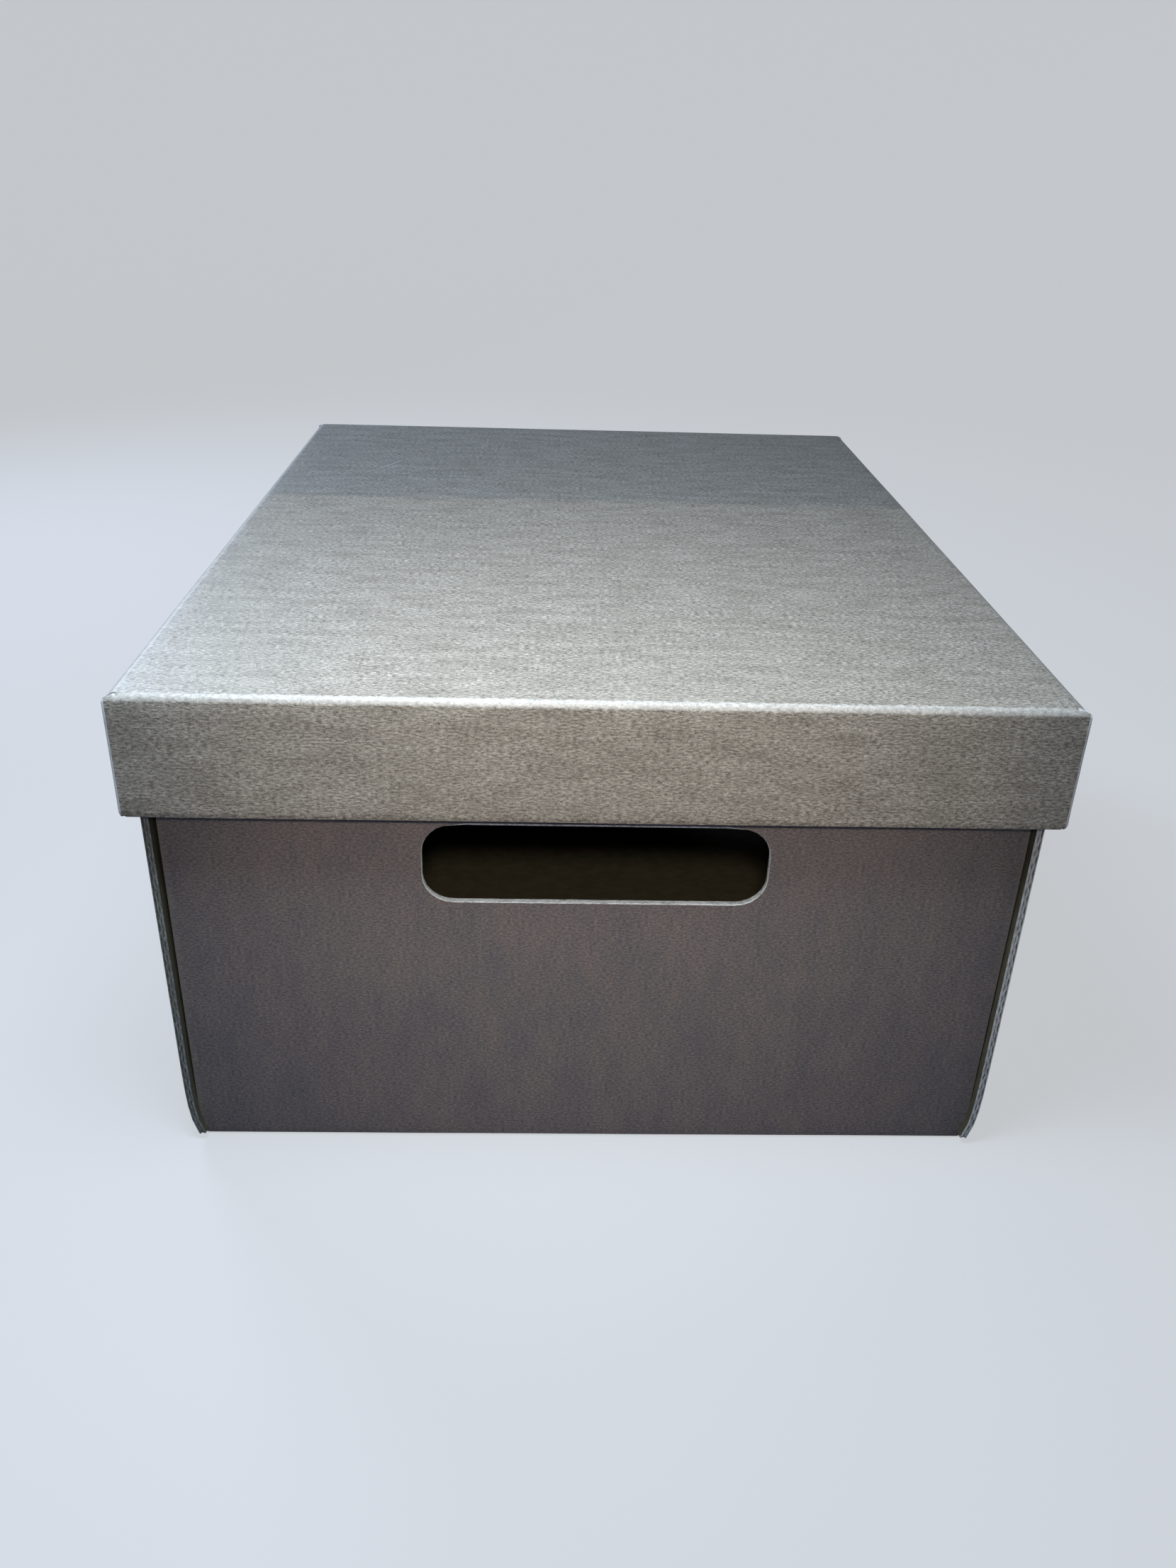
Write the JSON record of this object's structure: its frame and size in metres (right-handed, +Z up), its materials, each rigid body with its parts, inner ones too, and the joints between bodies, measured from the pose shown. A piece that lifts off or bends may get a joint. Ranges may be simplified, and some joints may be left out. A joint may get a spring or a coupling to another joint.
{
  "type": "cardboard archive box",
  "caption": "Shallow corrugated archive box with a lift-off lid and a hand hole in each end wall.",
  "frame": {"origin": "on the floor, under the middle of the box", "axes": "+Z up, +Y along the length towards the rear end, +X to the right seen from the front end at -Y"},
  "size_m": [0.34, 0.44, 0.206],
  "materials": {
    "kraft_board": "uncoated brown kraft liner with a faint sheen"
  },
  "bodies": {
    "body": {"box_body": "kraft_board"},
    "lid": {"lid": "kraft_board"},
    "front_grip_flap": {"front_grip_flap": "kraft_board"},
    "rear_grip_flap": {"rear_grip_flap": "kraft_board"}
  },
  "joints": [
    {"name": "lid_lift", "type": "slide", "parent": "body", "child": "lid", "axis": [0, 0, 1], "range_m": [0, 0.2]},
    {"name": "front_grip_close", "type": "hinge", "parent": "body", "child": "front_grip_flap", "pos_m": [0, -0.2047, 0.15], "axis": [-1, 0, 0], "range_deg": [0, 172]},
    {"name": "rear_grip_close", "type": "hinge", "parent": "body", "child": "rear_grip_flap", "pos_m": [0, 0.2047, 0.15], "axis": [1, 0, 0], "range_deg": [0, 172]}
  ]
}
